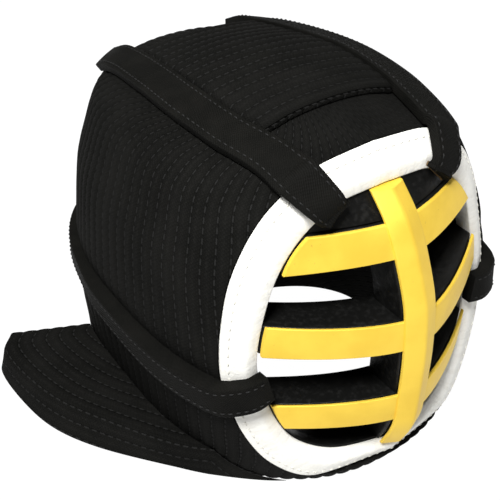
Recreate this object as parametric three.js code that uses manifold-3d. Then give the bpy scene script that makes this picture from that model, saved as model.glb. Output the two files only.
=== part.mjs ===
// A kendo mask: quilted hood with a raised crown pad, two crown straps, a white leather rim round a
// gilded grille, a strap round the hood and two shoulder flaps.
// Millimetres, +Z up, the face looks along -Y. The origin is at the middle of the base.
import * as THREE from "three";
import { mergeVertices } from "three/addons/utils/BufferGeometryUtils.js";
import Module from "manifold-3d";

const wasm = await Module();
wasm.setup();

// ---------------------------------------------------------------- driving dimensions
const GAP = 0.4; // clearance kept between neighbouring pieces
const AROUND = 48; // facets round the hood
const FAR_FRONT = -260; // a place well in front of the mask, where cutting bodies start

// The hood's outside, level by level: half width, reach to the front and to the back, and how
// square the plan is at the front and at the back.
const HOOD_LEVELS = [
  { z: 0, half: 118.5, front: 139.5, back: 118, squareFront: 2.2, squareBack: 5.4 },
  { z: 11, half: 119.5, front: 146, back: 122, squareFront: 2.25, squareBack: 5.2 },
  { z: 24, half: 121, front: 153, back: 126, squareFront: 2.3, squareBack: 4.6 },
  { z: 50, half: 123.5, front: 159.5, back: 139.5, squareFront: 2.5, squareBack: 3.7 },
  { z: 74, half: 125.5, front: 163.5, back: 147, squareFront: 2.6, squareBack: 3.1 },
  { z: 98, half: 126.5, front: 162.5, back: 150, squareFront: 2.6, squareBack: 2.7 },
  { z: 112, half: 128.5, front: 161, back: 154, squareFront: 2.6, squareBack: 2.55 },
  { z: 135, half: 126, front: 153, back: 155, squareFront: 2.6, squareBack: 2.5 },
  { z: 160, half: 121.5, front: 142.5, back: 155, squareFront: 2.55, squareBack: 2.5 },
  { z: 184, half: 113.5, front: 134, back: 152.5, squareFront: 2.5, squareBack: 2.45 },
  { z: 204, half: 105, front: 126, back: 149, squareFront: 2.4, squareBack: 2.4 },
  { z: 217, half: 93, front: 120, back: 135.5, squareFront: 2.3, squareBack: 2.2 },
  { z: 226, half: 79, front: 114, back: 102, squareFront: 1.95, squareBack: 1.98 },
  { z: 232, half: 61, front: 97, back: 69.5, squareFront: 1.75, squareBack: 1.85 },
  { z: 237, half: 42, front: 72, back: 44, squareFront: 1.8, squareBack: 1.9 },
  { z: 241, half: 6, front: 14, back: 8, squareFront: 2, squareBack: 2 },
];

// The hollow inside the hood, narrowed to a neck hole at the base.
const HOLLOW_LEVELS = [
  { z: -20, half: 84, front: 118, back: 56, square: 1.9 },
  { z: 0, half: 91.5, front: 124, back: 67, square: 1.9 },
  { z: 40, half: 104, front: 138, back: 106, square: 2.2 },
  { z: 98, half: 112, front: 150, back: 137, square: 2.5 },
  { z: 150, half: 109, front: 134, back: 144, square: 2.5 },
  { z: 195, half: 90, front: 116, back: 128, square: 2.3 },
  { z: 214, half: 62, front: 94, back: 92, square: 2.2 },
  { z: 226, half: 10, front: 16, back: 12, square: 2 },
];
const HOLLOW_SQUARE_FRONT = 2.5;

// The face opening from the crown down to the chin, right half: inner and outer edge of the rim.
const FACE_ROWS = [
  { innerX: 0, innerZ: 209.5, innerY: -110.5, outerX: 0, outerZ: 231.2, outerY: -97.8 },
  { innerX: 29, innerZ: 208.5, innerY: -110.5, outerX: 36, outerZ: 228.3, outerY: -97.8 },
  { innerX: 60, innerZ: 191, innerY: -109, outerX: 77, outerZ: 204, outerY: -95.5 },
  { innerX: 79, innerZ: 161, innerY: -108.5, outerX: 101, outerZ: 161, outerY: -94.8 },
  { innerX: 89.2, innerZ: 112, innerY: -109, outerX: 110.6, outerZ: 108, outerY: -101 },
  { innerX: 82, innerZ: 72, innerY: -114, outerX: 105.4, outerZ: 72, outerY: -109.9 },
  { innerX: 67, innerZ: 42, innerY: -123, outerX: 87, outerZ: 32, outerY: -121.8 },
  { innerX: 40, innerZ: 28, innerY: -134.5, outerX: 56, outerZ: 12, outerY: -134.2 },
  { innerX: 0, innerZ: 23.5, innerY: -142.5, outerX: 0, outerZ: 9.5, outerY: -142.5 },
];
const FACE_STEPS = 32; // steps from crown to chin on each side
const RIM_EDGE = 1.6; // thickness of the rim at its outer edge
const RIDGE_IN = 0.4; // where the ridge lies between inner edge (0) and outer edge (1)
const RIDGE_RISE = 4.2; // how far the ridge stands in front of the flat between the edges
const SEAT_FLARE = 12; // how far the cut for the rim widens in front of the hood
const SEAT_LENGTH = 25; // over this length of the cut
const WINDOW_DEPTH = 62; // how far behind the rim the face opening is cut

// The front of the grille down its middle: distance in front of the origin at each height.
const GRILLE_PROFILE = [
  { z: 215, y: -104 },
  { z: 209, y: -110.5 },
  { z: 194, y: -125.8 },
  { z: 176, y: -136.8 },
  { z: 137, y: -151 },
  { z: 98, y: -154 },
  { z: 56, y: -153.2 },
  { z: 23, y: -142.5 },
  { z: 10, y: -134 },
];
const GRILLE_FALL = 1.5; // exponent of the fall from the middle to the sides
const BARS = [
  { name: "top", low: 175, high: 193.5, lowEnd: 172.5, highEnd: 193.5 },
  { name: "middle", low: 115, high: 136.5, lowEnd: 118.5, highEnd: 140 },
  { name: "bottom", low: 55.5, high: 77.5, lowEnd: 57, highEnd: 77.5 },
];
const BAR_DEPTH = 30;
const BAR_STEPS = 10;
const BAR_REACH = 1.02; // the bars run on past the opening and are cut by it
const UPRIGHT_HALF = 12;
const UPRIGHT_STEPS = 18;
const UPRIGHT_FACING = { low: 20, high: 210 }; // foot and head of the upright's gilded facing
const UPRIGHT_CORE_LOW = 14; // foot of its black core, whose head is in the top bar
const KEEL_RISE = 5.5; // crest of the upright in front of its edges
const CREST_DIP = 2; // how far the core's front is set back along the crest
const FACING = 2.6; // thickness of the gilded facing
const FACING_LIP = 0.8; // how far the black core is set back from the facing's edges
const CORE_BEHIND = 1.2; // front of the black core behind the back of the facing
const FRAME_WALL = 5; // the ring reaches this far outside the rim's inner edge
const FRAME_SHOW = 1.6; // and this far inside it
const FRAME_DEPTH = 30;
const PLATE_TOP = 211;
const PLATE_REACH = 1.1; // the plate runs on past the opening and is cut by it
const PLATE_STEPS = 24;
const PLATE_SET_BACK = 2.2;
const PLATE_THICK = 3;

// Crown pad and crown straps.
const PAD_THICK = 6.5;
const PAD_FRONT = -57;
const PAD_BACK = 96;
const STRAP_WIDTH = 24;
const STRAP_THICK = 7.5;
const STRAP_CLEAR = 2.5 * GAP; // the strap's foot above the hood
// The middle of a strap over the crown; slant is how much further back its inner edge lies than its
// outer edge, and level is how far its top evens out the slope under it.
const STRAP_PATH = [
  { y: 127, x: 57, slant: 12, level: 0 },
  { y: 108, x: 58.2, slant: 7, level: 0.05 },
  { y: 90, x: 60, slant: 3.5, level: 0.05 },
  { y: 50, x: 64, slant: 0.5, level: 0.05 },
  { y: 0, x: 67, slant: 0, level: 0.05 },
  { y: -40, x: 64.6, slant: 0, level: 0.05 },
  { y: -75, x: 57.5, slant: 0, level: 0.05 },
  { y: -93, x: 54, slant: 0, level: 0.05 },
];
const STRAP_FRONT = [
  { innerAcross: 1, innerEdge: 1.14, outerAcross: 1, outerEdge: 1.65 },
  { innerAcross: 0.4, innerEdge: 1.12, outerAcross: 0.4, outerEdge: 1.65 },
  { innerAcross: 0.26, innerEdge: 1.08, outerAcross: 0, outerEdge: 1.61 },
  { innerAcross: 0.14, innerEdge: 1.06, outerAcross: -0.24, outerEdge: 1.565 },
];

// Strap round the hood and the two ends that hook over the rim.
const BAND_LOW = 85.5;
const BAND_HIGH = 103.5;
const BAND_ROUND = [
  { y: -98, low: 82, thick: 10 },
  { y: -60, low: 82.5, thick: 10.2 },
  { y: -20, low: 84, thick: 9.8 },
  { y: 20, low: 85, thick: 9.4 },
  { y: 60, low: 86.5, thick: 6.6 },
  { y: 95, low: 87.5, thick: 6 },
];
const BAND_HOOK = [
  { across: -0.04, low: 85, high: 105, thick: 7.4 },
  { across: 0.45, low: 83.4, high: 104.4, thick: 7.8 },
  { across: 1.04, low: 82, high: 103, thick: 8.8 },
];

// Shoulder flaps, from the front where they run out to the free back corner.
const FLAP_HEIGHT = 21.5;
const FLAP_EDGE = [
  { topX: 40, topY: -132, footX: 44, footY: -132.5 },
  { topX: 76, topY: -110, footX: 78, footY: -113.5 },
  { topX: 109, topY: -82, footX: 110, footY: -85.5 },
  { topX: 130, topY: -58, footX: 134, footY: -59 },
  { topX: 157, topY: -14, footX: 165, footY: -19 },
  { topX: 174, topY: 20, footX: 183, footY: 16 },
  { topX: 183.5, topY: 58, footX: 190.5, footY: 54 },
  { topX: 185, topY: 91, footX: 191, footY: 91 },
  { topX: 175, topY: 106, footX: 180, footY: 107 },
];
const FLAP_BACK = { x: 124, y: 84 };
const FLAP_ROOT = { x: 30, y: -40 };

// ---------------------------------------------------------------- materials
const finish = (color, roughness, metalness = 0) =>
  new THREE.MeshStandardMaterial({ color, roughness, metalness });
const quiltBlack = finish(0x22221f, 0.9);
const strapBlack = finish(0x26261f, 0.8);
const leatherWhite = finish(0xf4f2ea, 0.5);
const lacquerBlack = finish(0x151515, 0.4, 0.2);
const gilt = finish(0xe8b93c, 0.3, 0.9);

// ---------------------------------------------------------------- general helpers
// A smooth curve through one column of a table, read at a value of its key column.
function column(rows, key, name) {
  const points = rows.map((r) => [r[key], r[name]]).sort((a, b) => a[0] - b[0]);
  const slope = points.slice(1).map((p, i) => (p[1] - points[i][1]) / (p[0] - points[i][0]));
  const tangent = points.map((_, i) => {
    if (i === 0) return slope[0];
    if (i === points.length - 1) return slope[i - 1];
    return slope[i - 1] * slope[i] <= 0 ? 0 : (2 * slope[i - 1] * slope[i]) / (slope[i - 1] + slope[i]);
  });
  return (value) => {
    const last = points.length - 1;
    if (value <= points[0][0]) return points[0][1];
    if (value >= points[last][0]) return points[last][1];
    let i = 0;
    while (value > points[i + 1][0]) i += 1;
    const width = points[i + 1][0] - points[i][0];
    const t = (value - points[i][0]) / width;
    return (
      points[i][1] * (1 + 2 * t) * (1 - t) ** 2 +
      points[i + 1][1] * (3 - 2 * t) * t ** 2 +
      width * (tangent[i] * t * (1 - t) ** 2 - tangent[i + 1] * (1 - t) * t ** 2)
    );
  };
}

const columns = (rows, key) =>
  Object.fromEntries(
    Object.keys(rows[0])
      .filter((name) => name !== key)
      .map((name) => [name, column(rows, key, name)]),
  );

// A closed body through rings of equal length; capped at both ends, or joined end to start.
function loft(rings, joined = false) {
  const count = rings[0].length;
  const vertices = rings.flat().flatMap((p) => [p[0], p[1], p[2]]);
  const faces = [];
  const turns = joined ? rings.length : rings.length - 1;
  for (let r = 0; r < turns; r += 1) {
    const next = (r + 1) % rings.length;
    for (let i = 0; i < count; i += 1) {
      const j = (i + 1) % count;
      const [a, b, c, d] = [r * count + i, r * count + j, next * count + j, next * count + i];
      faces.push(a, b, c, a, c, d);
    }
  }
  if (!joined) {
    const end = (rings.length - 1) * count;
    for (const [flip, ring, start] of [[true, rings[0], 0], [false, rings.at(-1), end]]) {
      for (const [a, b, c] of capFaces(ring)) {
        faces.push(start + a, start + (flip ? c : b), start + (flip ? b : c));
      }
    }
  }
  return solid(vertices, faces);
}

// Triangles over a ring, worked out in the plane that it fits best.
function capFaces(ring) {
  const points = ring.map((p) => new THREE.Vector3(...p));
  const normal = new THREE.Vector3();
  points.forEach((p, i) => {
    const q = points[(i + 1) % points.length];
    normal.add(new THREE.Vector3().crossVectors(p, q));
  });
  normal.normalize();
  const turn = new THREE.Quaternion().setFromUnitVectors(normal, new THREE.Vector3(0, 0, 1));
  const flat = points.map((p) => {
    const q = p.clone().applyQuaternion(turn);
    return new THREE.Vector2(q.x, q.y);
  });
  return THREE.ShapeUtils.triangulateShape(flat, []);
}

// A manifold solid from vertices and faces, turned the right way out.
function solid(vertices, faces) {
  const geometry = new THREE.BufferGeometry();
  geometry.setAttribute("position", new THREE.Float32BufferAttribute(vertices, 3));
  geometry.setIndex(faces);
  const merged = mergeVertices(geometry, 1e-4);
  const index = Array.from(merged.index.array);
  const kept = [];
  for (let i = 0; i < index.length; i += 3) {
    const [a, b, c] = index.slice(i, i + 3);
    if (a !== b && b !== c && c !== a) kept.push(a, b, c);
  }
  const build = (list) =>
    new wasm.Manifold(
      new wasm.Mesh({
        numProp: 3,
        vertProperties: merged.attributes.position.array,
        triVerts: new Uint32Array(list),
      }),
    );
  const made = build(kept);
  if (made.volume() >= 0) return made;
  const turned = [];
  for (let i = 0; i < kept.length; i += 3) turned.push(kept[i], kept[i + 2], kept[i + 1]);
  return build(turned);
}

// A slab laid over a grid of points: from low to high above it, measured square to it. The top may
// be raised further, straight up.
function blanket(grid, low, high, extra = () => 0) {
  const vector = (r, c) => new THREE.Vector3(...grid[r][c]);
  const normal = (r, c) => {
    const along = vector(Math.min(r + 1, grid.length - 1), c).sub(vector(Math.max(r - 1, 0), c));
    const across = vector(r, Math.min(c + 1, grid[r].length - 1)).sub(vector(r, Math.max(c - 1, 0)));
    return along.cross(across).normalize();
  };
  const lift = (r, c, height) => vector(r, c).addScaledVector(normal(r, c), height).toArray();
  return loft(
    grid.map((row, r) => [
      ...row.map((_, c) => lift(r, c, low)),
      ...row.map((_, c) => lift(r, c, high).map((v, k) => (k === 2 ? v + extra(row, c) : v))).toReversed(),
    ]),
  );
}

// A named mesh from a solid.
function piece(name, body, material) {
  const mesh = body.getMesh();
  const geometry = new THREE.BufferGeometry();
  geometry.setAttribute("position", new THREE.BufferAttribute(new Float32Array(mesh.vertProperties), 3));
  geometry.setIndex(new THREE.BufferAttribute(new Uint32Array(mesh.triVerts), 1));
  geometry.computeVertexNormals();
  const made = new THREE.Mesh(geometry, material);
  made.name = name;
  return made;
}

const steps = (count) => Array.from({ length: count + 1 }, (_, i) => i / count);
const mix = (a, b, t) => a + (b - a) * t;
const mirrored = (body) => body.mirror([1, 0, 0]);

// ---------------------------------------------------------------- hood
const hoodAt = columns(HOOD_LEVELS, "z");
const hollowAt = columns(HOLLOW_LEVELS, "z");
const power = (value, exponent) => Math.sign(value) * Math.abs(value) ** exponent;

// One level of a rounded plan as a ring of points.
function planRing(z, half, front, back, squareFront, squareBack, count = AROUND) {
  return Array.from({ length: count }, (_, i) => {
    const angle = (2 * Math.PI * i) / count;
    const square = Math.sin(angle) < 0 ? squareFront : squareBack;
    const reach = Math.sin(angle) < 0 ? front : back;
    return [half * power(Math.cos(angle), 2 / square), reach * power(Math.sin(angle), 2 / square), z];
  });
}

function hoodRing(z, grow = 0) {
  const args = [hoodAt.half(z) + grow, hoodAt.front(z) + grow, hoodAt.back(z) + grow];
  return planRing(z, ...args, hoodAt.squareFront(z), hoodAt.squareBack(z));
}

// Height of the hood's outside over a point of the plan, found by halving.
function crownHeight(x, y) {
  let low = HOOD_LEVELS[3].z;
  let high = HOOD_LEVELS.at(-1).z;
  for (let i = 0; i < 40; i += 1) {
    const z = (low + high) / 2;
    const square = y < 0 ? hoodAt.squareFront(z) : hoodAt.squareBack(z);
    const reach = y < 0 ? hoodAt.front(z) : hoodAt.back(z);
    const inside = Math.abs(x / hoodAt.half(z)) ** square + Math.abs(y / reach) ** square < 1;
    if (inside) low = z;
    else high = z;
  }
  return (low + high) / 2;
}

// ---------------------------------------------------------------- face opening
const faceRow = FACE_ROWS.map((row, i) => ({ ...row, at: i }));
const faceAt = columns(faceRow, "at");

// Points of the face outline: across 0 is the inner edge, 1 the outer; out moves sideways.
function faceOutline(across, out = 0) {
  const ring = [];
  const last = FACE_ROWS.length - 1;
  const sample = (t) => [
    mix(faceAt.innerX(t), faceAt.outerX(t), across),
    mix(faceAt.innerY(t), faceAt.outerY(t), across),
    mix(faceAt.innerZ(t), faceAt.outerZ(t), across),
  ];
  for (let i = 0; i < 2 * FACE_STEPS; i += 1) {
    const side = i <= FACE_STEPS ? 1 : -1;
    const t = (last * (i <= FACE_STEPS ? i : 2 * FACE_STEPS - i)) / FACE_STEPS;
    const [x, y, z] = sample(t);
    const [xa, , za] = sample(Math.max(0, t - 0.05));
    const [xb, , zb] = sample(Math.min(last, t + 0.05));
    const length = Math.hypot(xb - xa, zb - za);
    const [nx, nz] = [-(zb - za) / length, (xb - xa) / length];
    const edge = t === 0 || t === last ? 0 : nx;
    ring.push([side * (x + out * edge), y, z + out * (t === last ? -1 : nz)]);
  }
  return ring;
}

const withY = (ring, y) => ring.map(([px, py, pz]) => [px, typeof y === "function" ? y(py) : y, pz]);

// A point on the front of the rim: across 0 at its inner edge, 1 at its outer edge.
function rimPoint(t, across) {
  const at = (name) => mix(faceAt[`inner${name}`](t), faceAt[`outer${name}`](t), across);
  const rise = across < RIDGE_IN ? across / RIDGE_IN : (1 - across) / (1 - RIDGE_IN);
  return [at("X"), at("Y") - RIDGE_RISE * Math.max(0, rise), at("Z")];
}

function faceRim() {
  const inner = faceOutline(0);
  const ridge = faceOutline(RIDGE_IN);
  const outer = faceOutline(1);
  const rings = inner.map((_, i) => [
    inner[i],
    [ridge[i][0], ridge[i][1] - RIDGE_RISE, ridge[i][2]],
    outer[i],
    [outer[i][0], outer[i][1] + RIM_EDGE, outer[i][2]],
    [inner[i][0], rimBack(inner[i], outer[i]), inner[i][2]],
  ]);
  return loft(rings, true);
}

const rimBack = (inner, outer) => Math.max(inner[1], outer[1]) + RIM_EDGE;

// The heights of a table, and one more half way to each next row.
const halved = (rows) =>
  rows.flatMap((row, i) => (rows[i + 1] ? [row.z, (row.z + rows[i + 1].z) / 2] : [row.z]));

function hollowRing(z) {
  const args = [hollowAt.half(z), hollowAt.front(z), hollowAt.back(z)];
  return planRing(z, ...args, HOLLOW_SQUARE_FRONT, hollowAt.square(z));
}

// The quilted shell: the outside less the hollow, the seat of the rim and the face opening.
function hood() {
  const inner = faceOutline(0);
  const outer = faceOutline(1);
  const edge = faceOutline(1, GAP);
  const flare = faceOutline(1, SEAT_FLARE);
  const seat = inner.map(([x, , z], i) => {
    const back = rimBack(inner[i], outer[i]) + GAP;
    const [flareX, , flareZ] = flare[i];
    return [
      [x, FAR_FRONT, z],
      [flareX, FAR_FRONT, flareZ],
      [flareX, back - SEAT_LENGTH, flareZ],
      [edge[i][0], back, edge[i][2]],
      [x, back, z],
    ];
  });
  const opening = faceOutline(0, FRAME_WALL + 2 * GAP);
  const window = [withY(opening, FAR_FRONT), withY(opening, (y) => y + WINDOW_DEPTH)];
  return loft(halved(HOOD_LEVELS).map((z) => hoodRing(z)))
    .subtract(loft(halved(HOLLOW_LEVELS).map(hollowRing)))
    .subtract(loft(seat, true))
    .subtract(loft(window));
}

// ---------------------------------------------------------------- grille
const grilleMiddle = column(GRILLE_PROFILE, "z", "y");
const sideRows = faceRow.map((r) => ({ z: r.innerZ + (r.at === 0 ? 0.5 : 0), x: r.innerX, y: r.innerY }));
const sideX = column(sideRows, "z", "x");
const sideY = column(sideRows, "z", "y");

// Front of the grille at a height, sideways place 0 in the middle and 1 at the rim.
function grilleFront(across, z) {
  const fall = Math.abs(across) ** GRILLE_FALL;
  return mix(grilleMiddle(z), Math.max(sideY(z), grilleMiddle(z)), fall);
}

// A bar right across, between two distances behind the grille's front.
function bar({ low, high, lowEnd, highEnd }, lip, near, far) {
  const rings = steps(2 * BAR_STEPS).map((t) => {
    const across = 2 * t - 1;
    const at = (z, depth) => [across * sideX(z) * BAR_REACH, grilleFront(across, z) + depth, z];
    const edge = [mix(low, lowEnd, across ** 2) + lip, mix(high, highEnd, across ** 2) - lip];
    return [at(edge[0], near), at(edge[1], near), at(edge[1], far), at(edge[0], far)];
  });
  return loft(rings);
}

// The upright: near and far are its front edges and its back behind the grille's front, and its
// crest stands further forward than its edges by rise.
function upright(low, high, half, near, far, rise) {
  const rings = steps(UPRIGHT_STEPS).map((t) => {
    const z = mix(low, high, t);
    const y = grilleMiddle(z);
    return [
      [-half, y + near, z],
      [0, y + near - rise, z],
      [half, y + near, z],
      [half, y + far, z],
      [-half, y + far, z],
    ];
  });
  return loft(rings);
}

function grilleFacing() {
  const parts = BARS.map((b) => bar(b, 0, -FACING, 0));
  const near = FACING_LIP - FACING;
  const { low, high } = UPRIGHT_FACING;
  const keel = upright(low, high, UPRIGHT_HALF, near, FACING_LIP, KEEL_RISE);
  return parts.reduce((a, b) => a.add(b), keel).intersect(insideRim(GAP));
}

// Everything inside the rim's inner edge, drawn in by a clearance.
function insideRim(clearance) {
  const ring = faceOutline(0, -clearance);
  return loft([withY(ring, FAR_FRONT), withY(ring, -FAR_FRONT)]);
}

// The black core: deep bars, the post and the ring behind the rim.
function grilleFrame() {
  const parts = BARS.map((b) => bar(b, FACING_LIP, CORE_BEHIND, CORE_BEHIND + BAR_DEPTH));
  const half = UPRIGHT_HALF - FACING_LIP;
  const head = BARS[0].high - 2 * FACING_LIP;
  const near = CORE_BEHIND + 2 * FACING_LIP;
  const post = upright(UPRIGHT_CORE_LOW, head, half, near, BAR_DEPTH, -CREST_DIP);
  const bars = parts.reduce((a, b) => a.add(b), post).intersect(insideRim(GAP));
  const outer = faceOutline(0, FRAME_WALL);
  const inner = faceOutline(0, -FRAME_SHOW);
  const edge = faceOutline(1);
  const ringRows = outer.map((_, i) => {
    const y0 = rimBack(outer[i], edge[i]) + GAP;
    const y1 = outer[i][1] + FRAME_DEPTH;
    return [
      [outer[i][0], y0, outer[i][2]],
      [outer[i][0], y1, outer[i][2]],
      [inner[i][0], y1, inner[i][2]],
      [inner[i][0], y0, inner[i][2]],
    ];
  });
  return loft(ringRows, true).add(bars);
}

// The black plate that closes the opening above the top bar.
function browPlate() {
  const low = BARS[0].high + GAP;
  const levels = [low, mix(low, PLATE_TOP, 0.5), PLATE_TOP];
  const narrowest = 30;
  const rings = steps(PLATE_STEPS).map((t) => {
    const x = (2 * t - 1) * sideX(low) * PLATE_REACH;
    const at = (z, behind) => {
      const across = Math.min(1, Math.abs(x) / Math.max(sideX(z), narrowest));
      return [x, grilleFront(across, z) + behind, z];
    };
    const front = levels.map((z) => at(z, PLATE_SET_BACK));
    const back = levels.map((z) => at(z, PLATE_SET_BACK + PLATE_THICK));
    return [...front, ...back.toReversed()];
  });
  return loft(rings).intersect(insideRim(GAP));
}

// ---------------------------------------------------------------- crown
const strapX = column(STRAP_PATH, "y", "x");
const strapSlant = column(STRAP_PATH, "y", "slant");
const strapLevel = column(STRAP_PATH, "y", "level");
const onHood = (x, y) => [x, y, crownHeight(x, y)];

function crownPad() {
  const grid = steps(14).map((t) => {
    const y = mix(PAD_FRONT, PAD_BACK, t);
    const half = strapX(y) - STRAP_WIDTH / 2 - 2 * GAP;
    return steps(12).map((s) => onHood(mix(half, -half, s), y));
  });
  return blanket(grid, 2 * GAP, PAD_THICK);
}

// A crown strap on the +X side: it follows the hood, bends over the rim and ends above the grille.
function crownStrap() {
  const last = STRAP_PATH.at(-1).y;
  const over = steps(14).map((t) => {
    const y = mix(STRAP_PATH[0].y, last, t);
    const slant = strapSlant(y);
    const wide = Math.sqrt(STRAP_WIDTH ** 2 - slant ** 2);
    return steps(3).map((s) => onHood(strapX(y) + (s - 0.5) * wide, y - (s - 0.5) * slant));
  });
  const down = STRAP_FRONT.map((row) =>
    steps(3).map((s) =>
      rimPoint(mix(row.innerEdge, row.outerEdge, s), mix(row.innerAcross, row.outerAcross, s)),
    ),
  );
  const grid = [...over, ...down];
  const level = (row, c) => (over.includes(row) ? strapLevel(row[0][1]) * (row[0][2] - row[c][2]) : 0);
  return blanket(grid, STRAP_CLEAR, STRAP_THICK, level);
}

// ---------------------------------------------------------------- strap round the hood
// A strip standing on edge: each place on its path has a foot and a head and its own thickness.
function strip(path) {
  const middle = path.map((p) => new THREE.Vector2((p.foot[0] + p.head[0]) / 2, (p.foot[1] + p.head[1]) / 2));
  const rings = path.map((p, i) => {
    const before = middle[i].clone().sub(middle[Math.max(0, i - 1)]).normalize();
    const after = middle[Math.min(path.length - 1, i + 1)].clone().sub(middle[i]).normalize();
    const along = before.add(after).normalize();
    const out = ([x, y, z]) => [x + along.y * p.thick, y - along.x * p.thick, z];
    return [p.foot, out(p.foot), out(p.head), p.head];
  });
  return loft(rings);
}

// The point on the front of the rim at a height, on the +X side.
function rimAt(z, across) {
  let [high, low] = [2, 7];
  for (let i = 0; i < 30; i += 1) {
    const t = (high + low) / 2;
    if (rimPoint(t, across)[2] > z) high = t;
    else low = t;
  }
  return rimPoint((high + low) / 2, across);
}

function sideBand() {
  const hook = BAND_HOOK.map(({ across, low, high, thick }) => {
    const on = (z) => {
      const [x, y] = rimAt(z, across);
      return [x, y - 3 * GAP, z];
    };
    return { foot: on(low), head: on(high), thick };
  });
  const heads = hoodRing(BAND_HIGH, 2 * GAP);
  const low = column(BAND_ROUND, "y", "low");
  const thick = column(BAND_ROUND, "y", "thick");
  const ring = hoodRing(BAND_LOW, 2 * GAP).map(([x, y], i) => ({
    foot: [x, y, low(y)],
    head: heads[i],
    thick: thick(y),
  }));
  const round = ring.filter(({ foot }) => foot[0] > 1 && foot[1] > -98).sort((a, b) => a.foot[1] - b.foot[1]);
  const back = ring.filter(({ foot }) => Math.abs(foot[0]) < 1 && foot[1] > 0);
  const right = [...hook, ...round];
  const flip = ([x, y, z]) => [-x, y, z];
  const left = right.map((p) => ({ ...p, foot: flip(p.foot), head: flip(p.head) })).toReversed();
  return strip([...right, ...back, ...left]);
}

// ---------------------------------------------------------------- shoulder flaps
function shoulderFlap() {
  const smooth = (x, y) =>
    new THREE.CatmullRomCurve3(FLAP_EDGE.map((p) => new THREE.Vector3(p[x], p[y], 0)))
      .getPoints(20)
      .map((p) => [p.x, p.y]);
  const root = [[FLAP_BACK.x, FLAP_BACK.y], [FLAP_ROOT.x, FLAP_BACK.y], [FLAP_ROOT.x, FLAP_ROOT.y]];
  const ring = (z, edge) => [...edge, ...root].map(([x, y]) => [x, y, z]);
  const slab = loft([ring(0, smooth("footX", "footY")), ring(FLAP_HEIGHT, smooth("topX", "topY"))]);
  const cut = slab.subtract(loft([-5, 0, 11, 22, 30].map((z) => hoodRing(z, GAP))));
  return cut.decompose().sort((a, b) => b.volume() - a.volume())[0];
}

// ---------------------------------------------------------------- assembly
const strap = crownStrap();
const flap = shoulderFlap();

const mask = new THREE.Group();
mask.add(
  piece("hood", hood(), quiltBlack),
  piece("crown_pad", crownPad(), quiltBlack),
  piece("crown_strap_left", mirrored(strap), strapBlack),
  piece("crown_strap_right", strap, strapBlack),
  piece("face_rim", faceRim(), leatherWhite),
  piece("grille_frame", grilleFrame(), lacquerBlack),
  piece("grille_facing", grilleFacing(), gilt),
  piece("brow_plate", browPlate(), lacquerBlack),
  piece("side_band", sideBand(), strapBlack),
  piece("shoulder_flap_left", mirrored(flap), quiltBlack),
  piece("shoulder_flap_right", flap, quiltBlack),
);

// The origin goes to the middle of the base.
const extent = new THREE.Box3().setFromObject(mask);
mask.position.y = -(extent.min.y + extent.max.y) / 2;

export default mask;
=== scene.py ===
# %% [markdown]
# # A kendo mask in Blender
#
# The mask is a quilted cotton hood with a crown pad and two crown straps, a white leather rim round
# a gilded face grille, a strap round the hood and two stiff shoulder flaps. This lesson builds each
# piece as a mesh in code, gives it a finish made only of nodes, and lights it.
#
# The CAD frame says how big everything is and where it sits.

import bisect
import math

import bmesh
import bpy
import numpy as np
from mathutils import Matrix, Vector


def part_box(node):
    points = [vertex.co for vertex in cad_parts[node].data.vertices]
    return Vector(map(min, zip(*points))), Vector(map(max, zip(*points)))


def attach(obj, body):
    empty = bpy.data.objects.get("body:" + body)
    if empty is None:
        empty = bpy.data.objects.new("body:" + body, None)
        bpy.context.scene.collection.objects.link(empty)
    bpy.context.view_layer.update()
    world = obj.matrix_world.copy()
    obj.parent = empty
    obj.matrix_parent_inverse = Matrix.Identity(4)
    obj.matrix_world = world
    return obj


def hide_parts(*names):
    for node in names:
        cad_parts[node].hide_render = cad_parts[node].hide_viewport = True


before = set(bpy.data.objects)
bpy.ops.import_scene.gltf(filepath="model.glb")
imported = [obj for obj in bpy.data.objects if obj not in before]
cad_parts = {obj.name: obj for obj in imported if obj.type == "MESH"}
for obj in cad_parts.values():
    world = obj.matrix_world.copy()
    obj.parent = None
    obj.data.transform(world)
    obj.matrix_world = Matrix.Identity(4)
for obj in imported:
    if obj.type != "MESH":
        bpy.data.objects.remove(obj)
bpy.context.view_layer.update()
MM = 0.001
# The tables below have their own origin, from which the hood reaches this far back.
HOOD_BACK = 155
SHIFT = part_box("hood")[1].y / MM - HOOD_BACK
print(f"the tables' origin is {SHIFT:.2f} mm behind the frame's")

# %% [markdown]
# ## The camera
#
# A camera can be aimed with a constraint, or worked out from the direction in which it sees the
# object, as here: azimuth and elevation give the direction from the aim back to the camera, and its
# rotation follows. The lamps are placed in the same way at the end.

# %% Place the camera
AIM = Vector((-0.0451, -0.0347, 0.1343))
LENS = 64.8
SENSOR = 36.0


def shown(name, data):
    """A new object in the scene."""
    made = bpy.data.objects.new(name, data)
    bpy.context.scene.collection.objects.link(made)
    return made


def aimed(name, data, azimuth, elevation, distance):
    """A camera or lamp that looks at the aim from a direction, with its picture upright."""
    a, e = math.radians(azimuth), math.radians(elevation)
    back = Vector((math.sin(a) * math.cos(e), -math.cos(a) * math.cos(e), math.sin(e)))
    made = shown(name, data)
    made.location = AIM + distance * back
    made.rotation_euler = back.to_track_quat("Z", "Y").to_euler()
    return made


lens = bpy.data.cameras.new("camera")
lens.lens, lens.sensor_width = LENS, SENSOR
camera = aimed("camera", lens, azimuth=-34.25, elevation=36.25, distance=0.6)
bpy.context.scene.camera = camera
print("camera at", [round(v, 4) for v in camera.location])

# %% [markdown]
# ## Tables and smooth curves
#
# The forms of the mask are held in short tables, in millimetres. Straight lines between the rows
# would show as corners, and most splines swing past their rows. A monotone spline does neither, so
# it is used for every column.


# %% Read tables as smooth curves
def table(names, *rows):
    """Rows with named columns."""
    return [dict(zip(names.split(), row)) for row in rows]


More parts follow.
